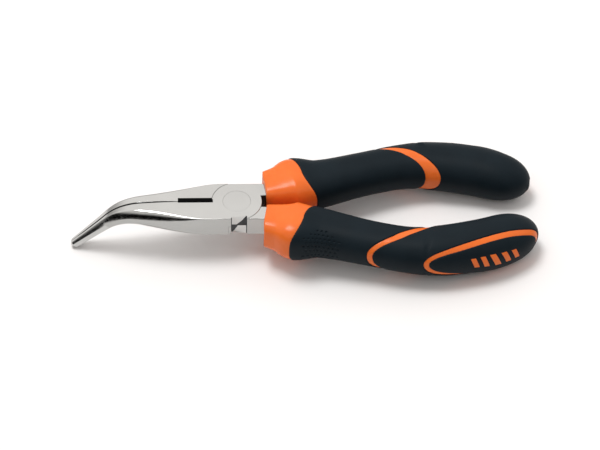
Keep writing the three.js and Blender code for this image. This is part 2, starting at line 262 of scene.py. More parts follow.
def sew(top, bottom, faces, distance=1e-4):
    """Joins the points of a skin that lie together, and the same points of the skin below it."""
    _, first, new = np.unique(np.round(top / distance), axis=0, return_index=True, return_inverse=True)
    return top[first], bottom[first], new.reshape(-1)[faces]


def without_repeats(face):
    """A face's corners, each once, or nothing if fewer than three are left."""
    loop = [int(v) for i, v in enumerate(face) if v != face[i - 1]]
    return loop if len(loop) >= 3 else None


def make_object(name, points, faces, material, turned):
    """A shaded mesh object from points in the tool's frame. turned puts it on the other side of the tool."""
    if turned:
        points = points * np.array([1, -1, -1])
    mesh = bpy.data.meshes.new(name)
    loops = [loop for loop in map(without_repeats, faces) if loop]
    mesh.from_pydata(to_row(points).tolist(), [], loops)
    mesh.validate()
    mesh.materials.append(material)
    obj = bpy.data.objects.new(name, mesh)
    bpy.context.scene.collection.objects.link(obj)
    mesh.shade_smooth()
    mesh.set_sharp_from_angle(angle=SHARP_ANGLE)
    return obj


def declare(obj, body, slot, *nodes):
    """The piece rides on a body and stands for CAD nodes, which it hides. The slot is not used."""
    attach(obj, body)
    if nodes:
        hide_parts(*nodes)
    return obj


# ================= Grip surface =================

def read_smooth(rows, x, column):
    """A column of a table, read smoothly at x: the same curve as the CAD's."""
    at, value = rows[:, 0], rows[:, column]
    last = len(at) - 1
    low = np.maximum(np.arange(last + 1) - 1, 0)
    high = np.minimum(np.arange(last + 1) + 1, last)
    slope = (value[high] - value[low]) / (at[high] - at[low])
    i = np.clip(np.searchsorted(at, x, side="left") - 1, 0, last - 1)
    span = at[i + 1] - at[i]
    t = np.clip((x - at[i]) / span, 0, 1)
    p, q, u, v = value[i], value[i + 1], slope[i] * span, slope[i + 1] * span
    return p + t * (u + t * (3 * (q - p) - 2 * u - v + t * (2 * (p - q) + u + v)))


def grip_skin(x, angle):
    """The grip's outer surface at x and an angle round it: 0 at the outer side, a quarter turn on top."""
    step = 0.5
    inside = np.maximum(x, GRIP_START + step)
    slope = (read_smooth(GRIP_ROWS, inside + step, 1) - read_smooth(GRIP_ROWS, inside - step, 1)) / (2 * step)
    length = np.hypot(1, slope)
    closing = np.clip((x - ROUND_FROM) / (GRIP_END - ROUND_FROM), 0, 1)
    share = np.sqrt(np.maximum(1 - closing**ROUND_POWER, 0))
    power = 2 / read_smooth(GRIP_ROWS, x, 4)
    c, s = np.cos(angle), np.sin(angle)
    across = read_smooth(GRIP_ROWS, x, 2) * share * np.sign(c) * np.abs(c) ** power
    up = read_smooth(GRIP_ROWS, x, 3) * share * np.sign(s) * np.abs(s) ** power
    middle = read_smooth(GRIP_ROWS, x, 1)
    return np.stack([x - across * slope / length, middle + across / length, up], -1)


def grip_frame(x, angle):
    """The surface's point, its two tangents and its outward normal."""
    dx, da = 0.02, 0.004
    x = np.minimum(x, GRIP_END - 1e-4)
    ahead = np.minimum(x + dx, GRIP_END)
    point = grip_skin(x, angle)
    along = (grip_skin(ahead, angle) - grip_skin(x - dx, angle)) / (ahead - x + dx)[..., None]
    around = (grip_skin(x, angle + da) - grip_skin(x, angle - da)) / (2 * da)
    normal = np.cross(around, along)
    normal /= np.maximum(np.linalg.norm(normal, axis=-1, keepdims=True), 1e-12)
    return point, along, around, normal


def grip_out(x, angle, out):
    """The surface moved along its normal."""
    point, _, _, normal = grip_frame(x, angle)
    return point + normal * np.asarray(out)[..., None]


def collar_edge(angle):
    """The border between the collar and the soft front zone."""
    side = np.cos(angle)
    slant = (COLLAR_INNER - COLLAR_OUTER) / 2
    bow = COLLAR_TOP - (COLLAR_INNER + COLLAR_OUTER) / 2
    return COLLAR_TOP - slant * side - bow * side**2


def stripe_edge(angle, sign):
    """The stripe's front (-1) or rear (+1) border."""
    side = np.cos(angle - PATTERN_TURN)
    return STRIPE_MIDDLE - STRIPE_SLANT * side + sign * (STRIPE_WIDTH - STRIPE_VARY * side) / 2


def steepness(edge, angle):
    """How much nearer a slanting border is than it seems along x."""
    step = 0.01
    slope = (edge(angle + step) - edge(angle - step)) / (2 * step * MEAN_RADIUS)
    return 1 / np.hypot(1, slope)


def palm_value(x, angle, share):
    """How far a point of the surface lies beyond the palm line, moved by a share of the ring's width."""
    p = grip_skin(x, angle)
    c, s = math.cos(-PATTERN_TURN), math.sin(-PATTERN_TURN)
    side = PALM_AXIS + (p[..., 1] - PALM_AXIS) * c - p[..., 2] * s
    line = read_smooth(PALM_ROWS, p[..., 0], 1) + read_smooth(PALM_ROWS, p[..., 0], 2) * share
    return side - line


def palm_distance(x, angle, share):
    """The same as a distance along the surface, in millimetres."""
    dx, da = 0.05, 0.006
    x = np.minimum(x, GRIP_END - 0.02)
    value = palm_value(x, angle, share)
    by_x = (palm_value(x + dx, angle, share) - palm_value(x - dx, angle, share)) / (2 * dx)
    by_angle = (palm_value(x, angle + da, share) - palm_value(x, angle - da, share)) / (2 * da)
    _, along, around, _ = grip_frame(x, angle)
    e = (along * along).sum(-1)
    f = (along * around).sum(-1)
    g = np.maximum((around * around).sum(-1), 1e-4)
    grade = (g * by_x**2 - 2 * f * by_x * by_angle + e * by_angle**2) / np.maximum(e * g - f * f, 1e-6)
    return value / np.sqrt(np.maximum(grade, 0.04))


def rounded(distance, radius=EDGE_ROUND):
    """The height of a rounded edge, at a distance from it: from -radius up to 0."""
    inward = radius - np.clip(distance, 0, radius)
    return np.sqrt(radius**2 - inward**2) - radius


def graded(stops):
    """Numbers from stop to stop, each stretch with its own count: [(stop, count to the next), ...]."""
    parts = [np.linspace(a, b, n, endpoint=False) for (a, n), (b, _) in zip(stops, stops[1:])]
    return np.concatenate([*parts, [stops[-1][0]]])


# ================= Grip pieces =================

def dimples(x, angle):
    """The depth of the dimples at each point."""
    depth = np.zeros(np.shape(x))
    rows = int(2 * DOT_HALF_TURN * MEAN_RADIUS / DOT_PITCH) + 1
    for row in range(rows):
        turn = (row - (rows - 1) / 2) * DOT_PITCH / MEAN_RADIUS
        room = 1 - (turn / DOT_HALF_TURN) ** 2
        if room <= 0:
            continue
        half = DOT_HALF_LENGTH * math.sqrt(room)
        shift = DOT_PITCH / 2 if row % 2 else 0
        most = math.ceil(DOT_HALF_LENGTH / DOT_PITCH) + 1
        for n in range(-most, most + 1):
            offset = n * DOT_PITCH + shift
            if abs(offset) > half:
                continue
            across = (angle - PATTERN_TURN - turn) * MEAN_RADIUS
            away = np.hypot(x - DOT_MIDDLE - offset, across) / DOT_RADIUS
            depth = np.maximum(depth, DOT_DEPTH * np.clip(1 - away**2, 0, 1) ** 0.8)
    return depth


def front_sleeve_mesh():
    """From the collar to the stripe, with dense stretches for the dimples and along both borders."""
    share = graded([(0, 8), (0.03, 96), (0.62, 34), (0.97, 8), (1, 0)])
    dense = DOT_ZONE_HALF_TURN
    angle = graded([(-dense, 150), (dense, 74), (2 * math.pi - dense, 0)])[:-1] + PATTERN_TURN
    s, a = np.meshgrid(share, angle, indexing="ij")
    front, rear = collar_edge(a), stripe_edge(a, -1)
    x = front + (rear - front) * s
    near_front = (x - front) * steepness(collar_edge, a)
    near_rear = (rear - x) * steepness(lambda t: stripe_edge(t, -1), a)
    out = rounded(np.minimum(near_front, near_rear)) - dimples(x, a)
    top = grip_out(x, a, out).reshape(-1, 3)
    bottom = grip_out(x, a, np.full(x.shape, SOFT_UNDERSIDE)).reshape(-1, 3)
    return shell(top, bottom, grid_faces(len(share), len(angle), around=True))


def palm_half_turn(x, share):
    """Half the angle that the palm region takes up at x, on each side of the pattern's middle."""
    sides = []
    for sign in (1, -1):
        low, high = np.zeros(np.shape(x)), np.full(np.shape(x), PALM_WIDEST_TURN)
        for _ in range(30):
            half = (low + high) / 2
            inside = palm_value(x, PATTERN_TURN + sign * half, share) > 0
            low, high = np.where(inside, half, low), np.where(inside, high, half)
        sides.append(low)
    return sides


def palm_ends(share):
    """Where the palm region begins and ends along the handle."""
    x = np.linspace(52, GRIP_END - 0.01, 4000)
    inside = x[palm_value(x, np.full(x.shape, PATTERN_TURN), share) > 0]
    return inside[0], inside[-1]


def rear_sleeve_mesh():
    """From the stripe to the butt, round the palm region, which is left open."""
    share = graded([(0, 8), (0.04, 22), (0.3, 46), (0.46, 26), (1, 0)])
    column = graded([(0, 8), (0.02, 150), (0.98, 8), (1, 0)])
    closing = np.sin(np.linspace(0, math.pi / 2, 60))[1:]
    a0 = PATTERN_TURN + 2 * math.pi * column
    s, c = np.meshgrid(np.arange(len(share) + len(closing)), column, indexing="ij")
    a = np.broadcast_to(a0, s.shape).copy()
    for _ in range(14):
        start = stripe_edge(a, 1)
        straight = start + (ROUND_FROM - start) * share[np.minimum(s, len(share) - 1)]
        round_part = ROUND_FROM + (GRIP_END - ROUND_FROM) * closing[np.clip(s - len(share), 0, None)]
        x = np.where(s < len(share), straight, round_part)
        upper, lower = palm_half_turn(x, RING_OUTSIDE)
        a = PATTERN_TURN + upper + c * (2 * math.pi - upper - lower)
    near_stripe = (x - stripe_edge(a, 1)) * steepness(lambda t: stripe_edge(t, 1), a)
    near_palm = -palm_distance(x, a, RING_OUTSIDE)
    out = rounded(np.minimum(near_stripe, near_palm))
    top = grip_out(x, a, out).reshape(-1, 3)
    bottom = grip_out(x, a, np.full(x.shape, SOFT_UNDERSIDE)).reshape(-1, 3)
    return shell(*sew(top, bottom, grid_faces(*x.shape)))


def palm_inlay_mesh():
    """The oval inlay, in a grid that follows its own border."""
    start, end = palm_ends(RING_INSIDE)
    x = start + (end - start) * (1 - np.cos(np.linspace(0, math.pi, 150))) / 2
    side = np.sin(np.linspace(-math.pi / 2, math.pi / 2, 64))
    upper, lower = palm_half_turn(x, RING_INSIDE)
    a = PATTERN_TURN + np.where(side > 0, upper[:, None] * side, lower[:, None] * side)
    x = np.broadcast_to(x[:, None], a.shape)
    out = rounded(palm_distance(x, a, RING_INSIDE))
    top = grip_out(x, a, out).reshape(-1, 3)
    bottom = grip_out(x, a, np.full(x.shape, SOFT_UNDERSIDE)).reshape(-1, 3)
    return shell(*sew(top, bottom, grid_faces(*x.shape)))


def bar_mesh(number):
    """One of the plain slanting bars on the palm inlay."""
    along, across = np.meshgrid(np.linspace(0, 1, 12), np.linspace(-1, 1, 16), indexing="ij")
    reach = BAR_HEIGHT / 2 * (1 - BAR_TAPER * abs(number - BAR_COUNT // 2))
    x = BAR_START + number * BAR_PITCH + BAR_WIDTH * along - BAR_SLANT * across * reach
    a = PATTERN_TURN + BAR_TURN - across * reach / MEAN_RADIUS
    edge = np.minimum(np.minimum(along, 1 - along) * BAR_WIDTH, (1 - np.abs(across)) * reach)
    top = grip_out(x, a, BAR_PROUD + rounded(edge, BAR_PROUD)).reshape(-1, 3)
    bottom = grip_out(x, a, np.full(x.shape, BAR_UNDERSIDE)).reshape(-1, 3)
    return shell(top, bottom, grid_faces(*x.shape))


def collar_front(angle):
    """The collar's front edge, which slants a little less than the grip's cross-sections do."""
    return GRIP_START + COLLAR_SKEW * np.cos(angle)


def core_mesh():
    """The hard core: bare at the collar, the stripe and the ring, and deeper under the soft zones."""
    share = graded([(0, 12), (0.012, 200), (1, 0)])
    closing = np.sin(np.linspace(0, math.pi / 2, 60))[1:]
    angle = np.linspace(0, 2 * math.pi, 176, endpoint=False)
    s, a = np.meshgrid(np.concatenate([share, 1 + closing]), angle, indexing="ij")
    front = collar_front(a)
    x = np.where(s <= 1, front + (ROUND_FROM - front) * s, ROUND_FROM + (GRIP_END - ROUND_FROM) * (s - 1))
    in_front_zone = np.minimum(
        (x - collar_edge(a)) * steepness(collar_edge, a),
        (stripe_edge(a, -1) - x) * steepness(lambda t: stripe_edge(t, -1), a),
    )
    in_rear_zone = np.minimum(
        (x - stripe_edge(a, 1)) * steepness(lambda t: stripe_edge(t, 1), a),
        -palm_distance(x, a, RING_OUTSIDE),
    )
    in_soft = np.maximum(np.maximum(in_front_zone, in_rear_zone), palm_distance(x, a, RING_INSIDE))
    t = np.clip((in_soft - CORE_STEP_FROM) / CORE_STEP_WIDTH, 0, 1)
    depth = (SOFT_UNDERSIDE + STRIPE_RECESS) * t * t * (3 - 2 * t)
    out = rounded(x - front, COLLAR_ROUND) - STRIPE_RECESS + depth
    rings = grip_out(x, a, out)
    inner_rings = [grip_out(x[:1], a[:1], np.full(a[:1].shape, -deep)) for deep in CORE_FRONT_DEPTHS]
    rings = np.concatenate([*inner_rings, rings])
    count = len(angle)
    points = np.concatenate([rings.reshape(-1, 3), rings[:1].mean(1)])
    middle = len(points) - 1
    cap = np.array([[middle, (j + 1) % count, j, j] for j in range(count)])
    faces = np.concatenate([grid_faces(len(rings), count, around=True), cap])
    kept, _, faces = sew(points, points, faces)
    return kept, faces


# ================= Steel pieces, built in the tool's frame in millimetres =================

def temporary(points, faces):
    """A closed mesh object for booleans, with its faces turned outwards."""
    loops = [loop for loop in map(without_repeats, faces) if loop]
    volume = 0.0
    for loop in loops:
        a = points[loop[0]]
        for b, c in zip(loop[1:], loop[2:]):
            volume += np.dot(a, np.cross(points[b], points[c]))
    if volume < 0:
        loops = [loop[::-1] for loop in loops]
    mesh = bpy.data.meshes.new("temporary")
    mesh.from_pydata(np.asarray(points).tolist(), [], loops)
    obj = bpy.data.objects.new("temporary", mesh)
    bpy.context.scene.collection.objects.link(obj)
    return obj


def loft(rings):
    """A closed solid through rings of equally many points, each end closed by a fan."""
    rings = np.array(rings, float)
    n, m = rings.shape[:2]
    points = np.concatenate([rings.reshape(-1, 3), rings[[0, -1]].mean(1)])
    around = np.arange(m)
    after = (around + 1) % m
    first = np.stack([np.full(m, n * m), after, around, around], -1)
    last = (n - 1) * m
    final = np.stack([np.full(m, n * m + 1), last + around, last + after, last + after], -1)
    return temporary(points, np.concatenate([grid_faces(n, m, around=True), first, final]))


def lathe(profile):
    """A closed solid turned about the rivet's axis: (radius, z) points from the axis back to the axis."""
    turn = np.linspace(0, 2 * math.pi, LATHE_STEPS, endpoint=False)
    (_, start), *middle, (_, end) = profile
    rings = np.array([[(r * math.cos(t), r * math.sin(t), z) for t in turn] for r, z in middle])
    count = len(rings)
    points = np.concatenate([rings.reshape(-1, 3), [(0, 0, start), (0, 0, end)]])
    around = np.arange(LATHE_STEPS)
    after = (around + 1) % LATHE_STEPS
    centre = np.full(LATHE_STEPS, count * LATHE_STEPS)
    last = (count - 1) * LATHE_STEPS
    first_cap = np.stack([centre, after, around, around], -1)
    last_cap = np.stack([centre + 1, last + around, last + after, last + after], -1)
    walls = grid_faces(count, LATHE_STEPS, around=True)
    return temporary(points, np.concatenate([walls, first_cap, last_cap]))


def combined(base, *steps):
    """Joins, cuts or intersects temporary solids, which are used up."""
    for operation, tool in steps:
        modifier = base.modifiers.new("step", "BOOLEAN")
        modifier.operation = operation
        modifier.solver = "MANIFOLD"
        modifier.object = tool
    bpy.context.view_layer.update()
    evaluated = base.evaluated_get(bpy.context.evaluated_depsgraph_get())
    mesh = bpy.data.meshes.new_from_object(evaluated)
    base.modifiers.clear()
    base.data = mesh
    for _, tool in steps:
        bpy.data.objects.remove(tool)
    return base


def turned_over(obj):
    """Half way round X, which takes the upper half's joint and handle to the lower half's."""
    obj.data.transform(Matrix.Rotation(math.pi, 4, "X"))
    return obj


def nose_path(along):
    """The nose's middle line: its place, and the direction square to it, upwards."""
    turned = min(max((along - BEND_START) / BEND_RADIUS, 0), BEND_ANGLE)
    beyond = max(along - BEND_START - BEND_RADIUS * BEND_ANGLE, 0)
    x = -(min(along, BEND_START) + BEND_RADIUS * math.sin(turned) + beyond * math.cos(turned))
    z = -(BEND_RADIUS * (1 - math.cos(turned)) + beyond * math.sin(turned))
    return x, z, -math.sin(turned), math.cos(turned)


def outer_edge(half, width, inner, ground):
    """The edge between top and outer side: a round part, then a nearly flat facet, as (across, up)."""
    radius, facet, steep, flat = ground
    steep, flat = math.radians(steep), math.radians(flat)
    wide = facet / (steep - flat)
    across = radius * math.cos(steep) + wide * (math.cos(flat) - math.cos(steep))
    down = radius * (1 - math.sin(steep)) + wide * (math.sin(steep) - math.sin(flat))
    room = min(1, 0.9 * half / down, 0.8 * (width - inner) / across)
    radius, wide = radius * room, wide * room
    y, z = width - across * room, half
    points = []
    for turn in np.linspace(math.pi / 2, steep, 8):
        points.append((y + radius * math.cos(turn), z - radius * (1 - math.sin(turn))))
    y, z = points[-1]
    for turn in np.linspace(steep, flat, 6)[1:]:
        further, lower = math.cos(turn) - math.cos(steep), math.sin(steep) - math.sin(turn)
        points.append((y + wide * further, z - wide * lower))
    return points


def edged_section(half, width, inner, ground, tooth=0.0, inner_round=0.1):
    """One cross-section with both outer edges, from the inner side round, as (across, up)."""
    upper = outer_edge(half, width, inner, ground)
    r = min(inner_round, half * 0.3, (width - inner) * 0.2)
    deep = half * TOOTH_REACH
    points = [(inner + tooth, -deep * 0.98), (inner + tooth, deep * 0.98), (inner, deep), (inner, half - r)]
    points += [(inner + r * 0.3, half - r * 0.3), (inner + r, half)]
    points += upper
    points += [(y, -z) for y, z in upper[::-1]]
    points += [(inner + r, -half), (inner + r * 0.3, r * 0.3 - half), (inner, r - half), (inner, -deep)]
    return points


def jaw_ring(along, side, rows, tooth=0.0, shrink=1.0):
    """A jaw's cross-section at a distance from the pivot. The closed jaws touch only at the tips."""
    x, z, up_x, up_z = nose_path(along)
    half = read_smooth(NOSE_ROWS, along, 1) / 2 * shrink
    t = min(max((along - CUTTER[1]) / (NOSE_LENGTH - JAW_TOUCH - CUTTER[1]), 0), 1)
    spring = math.sin(math.pi * t) ** 0.5
    inner = JAW_FACE + JAW_SPRING * spring
    width = inner + (read_smooth(rows, along, 1) - inner) * shrink
    radius, facet, steep, flat = [read_smooth(NOSE_ROWS, along, column) for column in (2, 3, 4, 5)]
    section = edged_section(half, width, inner, (radius * shrink, facet * shrink, steep, flat), tooth)
    return [(x + up * up_x, side * across, z + up * up_z) for across, up in section]


def jaw(side, rows):
    """A jaw from the pivot to the tip: plain, then with fine teeth on its gripping face."""
    rings = [jaw_ring(along, side, rows) for along in np.linspace(0, TEETH_START - 0.4, 44)]
    teeth = int((NOSE_LENGTH - TIP_ROUND - TEETH_START) / TOOTH_PITCH)
    for i in range(2 * teeth + 1):
        tooth = TOOTH_DEPTH if i % 2 else 0.0
        rings.append(jaw_ring(TEETH_START + i * TOOTH_PITCH / 2, side, rows, tooth))
    for turn in np.sin(np.linspace(0, math.pi / 2, 12))[:-1]:
        rings.append(jaw_ring(NOSE_LENGTH - TIP_ROUND * (1 - turn), side, rows, 0.0, math.sqrt(1 - turn**2)))
    return loft(rings)


def tang_middle(x):
    """The side distance of the tang's middle, from beside the gap in the head to the grip's middle."""
    start = (HEAD_HALF_WIDTH + HANDLE_GAP) / 2 + (x - GRIP_START) * 0.3
    t = min(max((x - GRIP_START) / (GRIP_ROWS[3, 0] - GRIP_START), 0), 1)
    t = t * t * (3 - 2 * t)
    return start * (1 - t) + read_smooth(GRIP_ROWS, x, 1) * t


def handle_steel():
    """The +Y handle's steel: the root beside the joint, with rounded edges, and the tang in the grip."""
    end_inner = tang_middle(TANG_FULL) - TANG_HALF_WIDTH
    rings = []
    for x in (0, 3, 6, GRIP_START, TANG_FULL):
        inner = HANDLE_GAP + (end_inner - HANDLE_GAP) * x / TANG_FULL
        outer = HEAD_HALF_WIDTH if x <= GRIP_START else tang_middle(x) + TANG_HALF_WIDTH
        section = edged_section(HEAD_HALF, outer, inner, NOSE_ROWS[0, 2:], 0.0, 0.3)
        rings.append([(x, y, z) for y, z in section])
    root = loft(rings)
    rings = []
    for x in np.linspace(TANG_FULL - 2, TANG_END, 40):
        middle = tang_middle(x)
        sides = [(middle - TANG_HALF_WIDTH, -TANG_HALF), (middle + TANG_HALF_WIDTH, -TANG_HALF)]
        rings.append([(x, y, z) for y, z in [*sides, *[(y, -z) for y, z in sides[::-1]]]])
    return combined(root, ("UNION", loft(rings)))


def head_block():
    """The head's full width with its rounded long edges, for the plate to be cut from."""
    upper = outer_edge(HEAD_HALF, HEAD_HALF_WIDTH, 0, NOSE_ROWS[0, 2:])
    quarter = upper + [(y, -z) for y, z in upper[::-1]]
    section = quarter + [(-y, -z) for y, z in quarter]
    return loft([[(x, y, z) for y, z in section] for x in (-9.5, 9.5)])


def notch(side):
    """A cutter for the recess in the near flank. In each layer its floor leans back to one corner."""
    start, end, depth, lean = NOTCH
    outside = HEAD_HALF_WIDTH + 4
    rings = []
    for z in np.linspace(-HEAD_HALF - 0.5, HEAD_HALF + 0.5, 60):
        share = min(abs(z) / HEAD_HALF, 1.1)
        floor = []
        for t in np.linspace(0, 1, 40):
            corner = t if z * side < 0 else 1 - t
            back = depth + lean * corner * share**2 + NOTCH_BOW * (1 - share) ** 2
            floor.append((start + (end - start) * t, HEAD_HALF_WIDTH - back))
        rings.append([(x, side * y, z) for x, y in [(end, outside), (start, outside), *floor]])
    return loft(rings)


def upper_body(own_jaw, notch_side):
    """The joint and handle of the upper half: plate above z = 0, handle on the +Y side."""
    edge = LAP_REACH - LAP_GAP
    top = HEAD_HALF + 1
    chamfered = [(edge, LAP_GAP / 2), (edge, HEAD_HALF - LAP_CHAMFER), (edge - LAP_CHAMFER, HEAD_HALF)]
    plate = lathe([(0, LAP_GAP / 2), *chamfered, (0, HEAD_HALF)])
    plate = combined(plate, ("INTERSECT", head_block()))
    flare = LAP_REACH + LAP_CHAMFER + 1
    room = [(flare, -top), (LAP_REACH, LAP_CHAMFER - HEAD_HALF), (LAP_REACH, LAP_GAP / 2)]
    room = lathe([(0, -top), *room, (0, LAP_GAP / 2)])
    shank = RIVET_RADIUS + RIVET_GAP
    shank = lathe([(0, -top), (shank, -top), (shank, top), (0, top)])
    sink = RIVET_HEAD_RADIUS + RIVET_GAP
    under = HEAD_HALF - RIVET_HEAD_DEPTH - RIVET_GAP
    sink = lathe([(0, under), (sink, under), (sink, top), (0, top)])
    return combined(
        own_jaw,
        ("UNION", handle_steel()),
        ("DIFFERENCE", room),
        ("UNION", plate),
        ("DIFFERENCE", notch(notch_side)),
        ("DIFFERENCE", shank),
        ("DIFFERENCE", sink),
    )


def cutter_bevels(side, opening):
    """The two bevels of the wire cutter in one jaw, which leave a thin edge at half thickness."""
    start, end, edge = CUTTER
    clear = HEAD_HALF + 2
    outline = [(-1, edge), (JAW_FACE, edge), (opening, HEAD_HALF + 0.01), (opening, clear), (-1, clear)]
    cuts = []
    for sign in (1, -1):
        cuts.append(loft([[(x, side * y, sign * z) for y, z in outline] for x in (-end, -start)]))
    return [("DIFFERENCE", cut) for cut in cuts]


def flat_normals(mesh, limit=math.radians(20)):
    """Corner normals, smooth over small turns, where a flat face outweighs the roundings beside it."""
    count = len(mesh.polygons)
    normal = np.empty(count * 3)
    mesh.polygons.foreach_get("normal", normal)
    normal = normal.reshape(-1, 3)
    area, centre, total = np.empty(count), np.empty(count * 3), np.empty(count, int)
    mesh.polygons.foreach_get("area", area)
    mesh.polygons.foreach_get("center", centre)
    mesh.polygons.foreach_get("loop_total", total)
    plane = np.column_stack([np.round(normal, 3), np.round((normal * centre.reshape(-1, 3)).sum(1), 2)])
    _, cluster = np.unique(plane, axis=0, return_inverse=True)
    cluster = cluster.reshape(-1)
    weight = np.bincount(cluster, area)[cluster]
    vertex = np.empty(len(mesh.loops), int)
    mesh.loops.foreach_get("vertex_index", vertex)
    face = np.repeat(np.arange(count), total)
    order = np.argsort(vertex, kind="stable")
    sharing = np.bincount(vertex)
    first = np.concatenate([[0], np.cumsum(sharing)[:-1]])
    rank = np.empty(len(vertex), int)
    rank[order] = np.arange(len(vertex)) - first[vertex[order]]
    result = np.zeros((len(vertex), 3))
    for step in range(sharing.max()):
        use = step < sharing[vertex]
        other = order[first[vertex] + (rank + step) % sharing[vertex]]
        close = (normal[face] * normal[face[other]]).sum(1) > math.cos(limit)
        result += np.where((use & close)[:, None], normal[face[other]] * weight[face[other], None], 0)
    result /= np.maximum(np.linalg.norm(result, axis=1, keepdims=True), 1e-12)
    return result


def finish_and_shade_kinds(mesh):
    """Each face's material: 0 polished, 1 near-black painted shade (cutter slot, notch and crotch gap), 2
    teeth darkened as painted shade of the jaw gap, 3 flank darkened as painted shade.
    """
    count = len(mesh.polygons)
    centre, normal = np.empty(count * 3), np.empty(count * 3)
    mesh.polygons.foreach_get("center", centre)
    mesh.polygons.foreach_get("normal", normal)
    (x, y, z), (nx, ny, nz) = centre.reshape(-1, 3).T, normal.reshape(-1, 3).T
    up = np.abs(nz) > 0.97
    cutter = (x > -CUTTER[1] - 0.1) & (x < -CUTTER[0] + 0.1) & (np.abs(y) < LOWER_OPENING + 0.1) & ~up
    end_wall = (x > -CUTTER[0] - 0.05) & (nx < -0.5)
    start, end, depth, _ = NOTCH
    sunk = (np.abs(y) > 6) & (np.abs(y) < HEAD_HALF_WIDTH - depth / 2)
    inside = (x > start - 0.05) & (x < end + 0.05) & sunk
    (high_from, high_slant), (low_from, low_slant) = NOTCH_UPPER_FIELD, NOTCH_LOWER_FIELD
    # Painted shade in the notch: its dark fields, the line between the layers and its end walls get
    # near-black steel.
    field = np.where(z > 0, x > high_from - high_slant * (HEAD_HALF - z), x < low_from + low_slant * z)
    notch_shade = field | (np.abs(z) < 0.3) | (x > end - 0.3) | (x < start + 0.25)
    crotch = (x > 4) & (np.abs(y) < 4.2) & ((np.abs(ny) > 0.8) | (np.abs(nx) > 0.8)) & ~up
    gripping = np.abs(y) < JAW_FACE + JAW_SPRING + TOOTH_DEPTH + 0.05
    # The teeth get darker steel as painted shade of the gap between the jaws.
    teeth_gap_shade = (x < -CUTTER[1]) & gripping & (np.abs(ny) > 0.5)
    # Near-black steel as painted shade: the cutter slot, the crotch gap behind the joint and the notch's dark
    # parts.
    painted_dark = (cutter & ~end_wall) | crotch | (inside & notch_shade & ~up)
    # The flanks get darker steel as painted shade, for their dimmer reflection of the floor.
    flank = (np.abs(ny) > 0.93) & (np.abs(y) > 3) & ~inside
    return np.select([painted_dark, teeth_gap_shade, flank], [1, 2, 3], 0).astype(np.int32)


def finish_steel(obj, name, material):
    """From the tool's frame to the row frame, with its finishes and painted shade, and shading that keeps
    flat faces flat.
    """
    mesh = obj.data
    face_kind = finish_and_shade_kinds(mesh)
    corner_normals = flat_normals(mesh)
    c, t = math.cos(LEAN), math.sin(LEAN)
    x, y, z = corner_normals.T
    corner_normals = np.stack([x * c + z * t, y, z * c - x * t], -1)
    points = np.empty(len(mesh.vertices) * 3)
    mesh.vertices.foreach_get("co", points)
    mesh.vertices.foreach_set("co", to_row(points.reshape(-1, 3)).ravel())
    mesh.materials.clear()
    for face_material in (material, PAINTED_SHADE_STEEL, TEETH_GAP_SHADE_STEEL, FLANK_SHADE_STEEL):
        mesh.materials.append(face_material)
    mesh.polygons.foreach_set("material_index", face_kind)
    mesh.shade_smooth()
    mesh.normals_split_custom_set(corner_normals.tolist())
    obj.name = mesh.name = name
    return obj


def upper_half_object():
    body = upper_body(jaw(-1, NEAR_JAW_ROWS), -1)
    return finish_steel(combined(body, *cutter_bevels(-1, UPPER_OPENING)), "upper_half_steel", STEEL)


def lower_half_object():
    body = turned_over(upper_body(turned_over(jaw(1, FAR_JAW_ROWS)), 1))
    return finish_steel(combined(body, *cutter_bevels(1, LOWER_OPENING)), "lower_half_steel", STEEL)


def rivet_object():
    """Two flush heads on a shank, each edge with a fine chamfer."""
    top = HEAD_HALF - RIVET_SINK
    under = HEAD_HALF - RIVET_HEAD_DEPTH
    half = [
        (RIVET_HEAD_RADIUS - RIVET_CHAMFER, top),
        (RIVET_HEAD_RADIUS, top - RIVET_CHAMFER),
        (RIVET_HEAD_RADIUS, under),
        (RIVET_RADIUS, under),
    ]
    profile = [(0, -top), *[(r, -z) for r, z in half], *half[::-1], (0, top)]
    return finish_steel(lathe(profile), "pivot_rivet_steel", RIVET)


# ================= Materials =================

def new_material(name):
    """A material with its shader and a function that adds nodes."""
    material = bpy.data.materials.new(name)
    material.use_nodes = True
    nodes, links = material.node_tree.nodes, material.node_tree.links
    shader = nodes["Principled BSDF"]

    def add(kind, **inputs):
        node = nodes.new(kind)
        for key, value in inputs.items():
            node.inputs[key.replace("_", " ")].default_value = value
        return node

    return material, shader, add, links.new


def noise(add, link, scale, detail=4.0, roughness=0.55, stretch=None):
    """Noise in the object's own place, in cycles per metre. It can be stretched along one direction."""
    place = add("ShaderNodeTexCoord").outputs["Object"]
    if stretch:
        mapping = add("ShaderNodeMapping")
        mapping.inputs["Scale"].default_value = stretch
        link(place, mapping.inputs["Vector"])
        place = mapping.outputs["Vector"]
    node = add("ShaderNodeTexNoise", Scale=scale, Detail=detail, Roughness=roughness)
    link(place, node.inputs["Vector"])
    return node.outputs["Fac"]


def spread(add, link, value, low, high):
    """Noise from its usual middle range to low..high."""
    node = add("ShaderNodeMapRange")
    node.inputs["From Min"].default_value = 0.3
    node.inputs["From Max"].default_value = 0.7
    node.inputs["To Min"].default_value = low
    node.inputs["To Max"].default_value = high
    link(value, node.inputs["Value"])
    return node.outputs["Result"]


def tint(add, link, value, dark, light):
    """A colour between two, by noise."""
    node = add("ShaderNodeMix")
    node.data_type = "RGBA"
    link(spread(add, link, value, 0.0, 1.0), node.inputs[0])
    node.inputs[6].default_value = (*dark, 1)
    node.inputs[7].default_value = (*light, 1)
    return node.outputs[2]


def bump(add, link, shader, heights):
    """Bumps of several noises on one surface: [(height socket, depth in metres), ...]."""
    normal = None
    for height, depth in heights:
        node = add("ShaderNodeBump", Strength=1.0, Distance=depth)
        link(height, node.inputs["Height"])
        if normal:
            link(normal, node.inputs["Normal"])
        normal = node.outputs["Normal"]
    link(normal, shader.inputs["Normal"])


